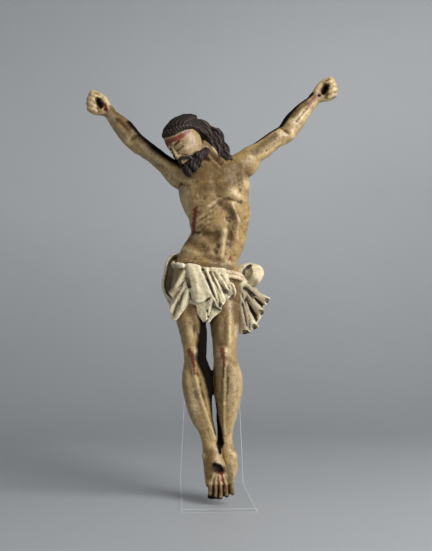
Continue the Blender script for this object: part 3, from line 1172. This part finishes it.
# %% Wires
class Wire:
    def __init__(self, tree, socket=None):
        self.tree = tree
        self.socket = socket

    def node(self, kind, settings=None, values=None, output=0):
        made = self.tree.nodes.new(kind)
        for name, value in (settings or {}).items():
            setattr(made, name, value)
        for name, value in (values or {}).items():
            if isinstance(value, Wire):
                self.tree.links.new(value.socket, made.inputs[name])
            elif isinstance(value, tuple):
                made.inputs[name].default_value = (*value, 1)
            else:
                made.inputs[name].default_value = value
        return Wire(self.tree, made.outputs[output])

    def math(self, operation, first, second):
        return self.node("ShaderNodeMath", {"operation": operation}, {0: first, 1: second})

    def __add__(self, other):
        return self.math("ADD", self, other)

    def __radd__(self, other):
        return self.math("ADD", other, self)

    def __sub__(self, other):
        return self.math("SUBTRACT", self, other)

    def __rsub__(self, other):
        return self.math("SUBTRACT", other, self)

    def __mul__(self, other):
        return self.math("MULTIPLY", self, other)

    def __rmul__(self, other):
        return self.math("MULTIPLY", other, self)


def new_material(name):
    material = bpy.data.materials.new(name)
    material.use_nodes = True
    tree = material.node_tree
    return material, tree.nodes["Principled BSDF"], Wire(tree)


def marked(wire, name):
    return wire.node("ShaderNodeAttribute", {"attribute_name": name}, output="Fac")


def grain(wire, per_metre, detail=3.0, roughness=0.55, upright=1.0):
    place = wire.node("ShaderNodeTexCoord", output="Object")
    place = wire.node("ShaderNodeVectorMath", {"operation": "MULTIPLY"}, {0: place, 1: [1, 1, 1 / upright]})
    return wire.node("ShaderNodeTexNoise", None,
                     {"Vector": place, "Scale": per_metre, "Detail": detail, "Roughness": roughness})


def between(value, low, high):
    return value.node("ShaderNodeMapRange", {"interpolation_type": "SMOOTHSTEP"},
                      {"Value": value, "From Min": low, "From Max": high})


def over(below, colour, mask):
    return mask.node("ShaderNodeMix", {"data_type": "RGBA"}, {0: mask, 6: below, 7: colour}, output=2)


def feed(shader, name, wire):
    wire.tree.links.new(wire.socket, shader.inputs[name])


def settle(shader, values):
    for name, value in values.items():
        shader.inputs[name].default_value = value


def roughen(shader, height, strength, distance):
    feed(shader, "Normal", height.node(
        "ShaderNodeBump", None, {"Height": height, "Strength": strength, "Distance": distance}))


print("wires ready")

# %% [markdown]
# ## Painted skin
# Oil paint over gesso: ochre and rose-grey tan in soft patches, yellower in places, cream where handling has
# worn the ridges, brown-black where dirt lies in the hollows and on what faces up, and semi-gloss from old
# varnish. Fine cracks and grains give the gloss its broken look.

# %% Skin material
OCHRE = (0.43, 0.28, 0.098)
TAN = (0.34, 0.225, 0.098)
ROSE_GREY = (0.30, 0.185, 0.105)
CREAM = (0.68, 0.51, 0.27)
GLAZE = (0.115, 0.068, 0.026)
BROWN = (0.085, 0.048, 0.02)
SOOT = (0.006, 0.0035, 0.0025)
BLOOD = (0.17, 0.016, 0.007)
BEARD_SHADOW = (0.058, 0.038, 0.034)


def painted_skin():
    material, shader, start = new_material("painted_skin")
    hollow, ridge, grime = marked(start, "hollow"), marked(start, "ridge"), marked(start, "grime")
    blood, dark = marked(start, "blood"), marked(start, "dark")
    patches, blotches = grain(start, 26, 4), grain(start, 95, 5, 0.6)
    speckle, fine = grain(start, 420, 6, 0.75), grain(start, 1100, 3, 0.7)
    streaks = grain(start, 260, 4, 0.7, upright=4)
    paint = over(OCHRE, TAN, between(patches, 0.4, 0.62))
    paint = over(paint, ROSE_GREY, between(blotches, 0.45, 0.75) * 0.5)
    paint = over(paint, CREAM, between(ridge * 1.1 + speckle * 0.5, 0.45, 1.35) * 0.7)
    paint = over(paint, ROSE_GREY, between(streaks, 0.55, 0.72) * 0.55)
    paint = over(paint, GLAZE, between(grime + blotches * 0.3 + speckle * 0.2, 0.35, 1.25) * 0.85)
    paint = over(paint, CREAM, between(0.9 - speckle - fine * 0.3, 0.28, 0.5) * 0.4)
    paint = over(paint, BROWN, between(speckle + blotches * 0.35, 0.64, 0.86) * 0.6)
    dirt = between(hollow + blotches * 0.5 + speckle * 0.9, 0.74, 1.4)
    paint = over(paint, BROWN, dirt * 0.85)
    soot = between(dark * 1.3 + blotches * 0.6 + speckle * 0.6, 0.95, 1.6)
    paint = over(paint, BROWN, between(dark * 1.5 + blotches * 0.6 + speckle * 0.5, 0.62, 1.2) * 0.85)
    paint = over(paint, SOOT, soot)
    paint = over(paint, BLOOD, between(blood + speckle * 1.5 + blotches * 0.4, 1.25, 1.75) * 0.9)
    beard = between(marked(start, "beard") + streaks * 0.5 + speckle * 0.3, 0.7, 1.15)
    paint = over(paint, BEARD_SHADOW, beard)
    feed(shader, "Base Color", paint)
    feed(shader, "Roughness", dirt * 0.25 + soot * 0.4 + speckle * 0.3 + 0.36)
    varnish = (1 - soot) * (1 - between(grime + blotches * 0.4, 0.3, 1.1) * 0.75) * (1 - dirt * 0.8)
    feed(shader, "Coat Weight", varnish * 0.8)
    settle(shader, {"IOR": 1.18, "Coat Roughness": 0.34, "Coat IOR": 1.5})
    roughen(shader, speckle * 0.8 + blotches * 0.5 + fine * 0.25, 0.4, 0.0006)
    return material


# %% [markdown]
# ## Hair, cloth, rope and clear acrylic
# The hair is nearly black with brown showing where its strands are rubbed. The cloth is cream gesso, matt,
# with brown dirt in the folds. The rope is the same, a little redder. The acrylic lets light through, and
# its values are plain numbers on the shader, so they survive the export.

# %% The other materials
HAIR_BLACK = (0.020, 0.014, 0.011)
HAIR_BROWN = (0.034, 0.016, 0.014)
HAIR_RUBBED = (0.125, 0.098, 0.075)
HAIR_HOLLOW = (0.004, 0.003, 0.003)
CLOTH_WORN = (0.9, 0.84, 0.68)
CLOTH_BLACK = (0.03, 0.017, 0.008)
BRIGHT_BRASS = (0.72, 0.53, 0.24)
DULL_BRASS = (0.42, 0.28, 0.12)


def dark_hair():
    material, shader, start = new_material("dark_hair")
    hollow, ridge = marked(start, "hollow"), marked(start, "ridge")
    blotches, fine = grain(start, 90, 4, 0.6), grain(start, 600, 3, 0.7)
    paint = over(HAIR_BLACK, HAIR_BROWN, between(blotches, 0.45, 0.65))
    paint = over(paint, HAIR_RUBBED, between(ridge * 1.2 + fine * 0.5, 0.6, 1.4) * 0.7)
    paint = over(paint, HAIR_HOLLOW, between(hollow, 0.05, 0.6) * 0.85)
    feed(shader, "Base Color", paint)
    feed(shader, "Roughness", hollow * 0.3 + fine * 0.2 + 0.45)
    settle(shader, {"IOR": 1.28})
    roughen(shader, fine * 0.6 + blotches * 0.4, 0.3, 0.0005)
    return material


def cream_cloth(name, clean, shade, dirty):
    material, shader, start = new_material(name)
    hollow, ridge, dark = marked(start, "hollow"), marked(start, "ridge"), marked(start, "dark")
    blotches, fine = grain(start, 80, 5, 0.65), grain(start, 700, 4, 0.75)
    paint = over(clean, shade, between(blotches, 0.42, 0.7))
    paint = over(paint, CLOTH_WORN, between(ridge + fine * 0.5, 0.45, 1.25) * 0.65)
    paint = over(paint, dirty, between(marked(start, "grime") + blotches * 0.5 + fine * 0.3, 0.5, 1.6) * 0.65)
    paint = over(paint, dirty, between(fine + blotches * 0.5, 0.74, 0.96) * 0.6)
    paint = over(paint, dirty, between(hollow * 1.2 + fine * 0.5 + blotches * 0.4, 0.62, 1.5) * 0.8)
    paint = over(paint, CLOTH_BLACK, between(dark * 1.2 + blotches * 0.4 + fine * 0.3, 0.5, 1.25))
    feed(shader, "Base Color", paint)
    feed(shader, "Roughness", fine * 0.25 + 0.55)
    roughen(shader, fine * 0.7 + blotches * 0.4, 0.45, 0.0006)
    return material


def clear_acrylic(name, colour, alpha, roughness, clearness, glow):
    material, shader, _ = new_material(name)
    settle(shader, {
        "Base Color": (*colour, 1), "Roughness": roughness, "IOR": 1.49, "Transmission Weight": clearness,
        "Alpha": alpha, "Emission Color": (*colour, 1), "Emission Strength": glow,
    })
    return material


def bright_brass():
    material, shader, start = new_material("bright_brass")
    tarnish = grain(start, 500)
    feed(shader, "Base Color", over(BRIGHT_BRASS, DULL_BRASS, between(tarnish, 0.45, 0.7) * 0.5))
    settle(shader, {"Metallic": 1.0})
    feed(shader, "Roughness", tarnish * 0.2 + 0.22)
    return material


def dress(piece, material, node):
    if piece.data.materials:
        piece.data.materials[0] = material
    else:
        piece.data.materials.append(material)
    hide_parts(node)
    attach(piece, "root")


skin = painted_skin()
hair_paint = dark_hair()
cloth = cream_cloth("cream_cloth", (0.78, 0.67, 0.43), (0.58, 0.48, 0.29), (0.11, 0.066, 0.03))
cord = cream_cloth("worn_rope", (0.76, 0.6, 0.38), (0.6, 0.42, 0.26), (0.12, 0.05, 0.025))
acrylic = clear_acrylic("clear_acrylic", (0.97, 0.99, 0.985), 0.1, 0.02, 1.0, 0.0)
edges = clear_acrylic("polished_edge", (0.92, 0.96, 0.95), 0.6, 0.2, 0.2, 0.35)
brass = bright_brass()
for piece, paint in ((body, skin), (head, skin), (hair, hair_paint), (beard, hair_paint), (loincloth, cloth),
                     (girdle, cord)):
    dress(piece, paint, "corpus_figure")
dress(stand, acrylic, "display_stand")
stand.data.materials[1] = edges
dress(screw, brass, "fixing_screw")
for node, material in (("corpus_figure", skin), ("display_stand", acrylic), ("fixing_screw", brass)):
    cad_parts[node].data.materials.clear()
    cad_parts[node].data.materials.append(material)
print("pieces dressed")

# %% [markdown]
# ## Floor and light
# The photograph has a seamless pale grey ground, lit softly from the right and the front. The ground here is
# a wide round dish, so that it is seamless from every side: a disc whose rim is drawn out and up in a curve.

# %% Ground
FLAT_RADIUS = 0.62
SWEEP_OUT = 0.95
SWEEP_UP = 0.6
WALL_TOP = 2.3
SWEEP_STEPS = 16
GROUND_DARK = (0.42, 0.435, 0.45)
GROUND_PALE = (0.45, 0.465, 0.48)


def ground():
    deselect()
    bpy.ops.mesh.primitive_circle_add(vertices=128, radius=FLAT_RADIUS, fill_type="NGON")
    dish = bpy.context.object
    dish.name = "ground"
    bpy.ops.object.mode_set(mode="EDIT")
    bpy.ops.mesh.select_mode(type="EDGE")
    bpy.ops.mesh.select_all(action="SELECT")
    bpy.ops.mesh.region_to_loop()
    radius, height = FLAT_RADIUS, 0.0
    for i in range(1, SWEEP_STEPS + 1):
        angle = math.pi / 2 * i / SWEEP_STEPS
        wider, higher = FLAT_RADIUS + SWEEP_OUT * math.sin(angle), SWEEP_UP * (1 - math.cos(angle))
        bpy.ops.mesh.extrude_edges_move(TRANSFORM_OT_translate={"value": (0, 0, higher - height)})
        bpy.ops.transform.resize(value=(wider / radius, wider / radius, 1))
        radius, height = wider, higher
    bpy.ops.mesh.extrude_edges_move(TRANSFORM_OT_translate={"value": (0, 0, WALL_TOP - height)})
    bpy.ops.mesh.select_all(action="SELECT")
    bpy.ops.mesh.normals_make_consistent(inside=False)
    bpy.ops.object.mode_set(mode="OBJECT")
    bpy.ops.object.shade_smooth()
    return dish


def pale_ground():
    material, shader, start = new_material("pale_ground")
    feed(shader, "Base Color", over(GROUND_DARK, GROUND_PALE, grain(start, 3)))
    settle(shader, {"Roughness": 0.6})
    return material


floor = ground()
floor.data.materials.append(pale_ground())
print("ground has", len(floor.data.polygons), "faces")

# %% Lights
CHEST = (0, -0.02, 0.28)
FEET = (0, -0.02, 0.12)
WALL_MIDDLE = (0.25, 1.55, 0.85)
WORLD_COLOUR = (0.93, 0.96, 1.0, 1)
WORLD_STRENGTH = 0.11


def softbox(name, place, aim, size, watts, spread=180):
    deselect()
    bpy.ops.object.light_add(type="AREA", location=place)
    light = bpy.context.object
    light.name = name
    light.rotation_euler = (Vector(aim) - light.location).to_track_quat("-Z", "Y").to_euler()
    light.data.shape = "RECTANGLE"
    light.data.size = light.data.size_y = size
    light.data.spread = math.radians(spread)
    light.data.energy = watts


softbox("key", (0.85, -0.75, 0.95), aim=CHEST, size=0.85, watts=18.5)
softbox("fill", (-1.2, -1.0, 0.7), aim=CHEST, size=0.8, watts=3)
softbox("low_fill", (0.75, -0.95, 0.35), aim=FEET, size=0.6, watts=3.8)
softbox("wall_light", (0.95, 0.1, 1.3), aim=WALL_MIDDLE, size=0.5, watts=3.2, spread=90)

world = bpy.data.worlds.new("studio")
bpy.context.scene.world = world
world.use_nodes = True
settle(world.node_tree.nodes["Background"], {"Color": WORLD_COLOUR, "Strength": WORLD_STRENGTH})
bpy.context.scene.view_settings.view_transform = "Standard"
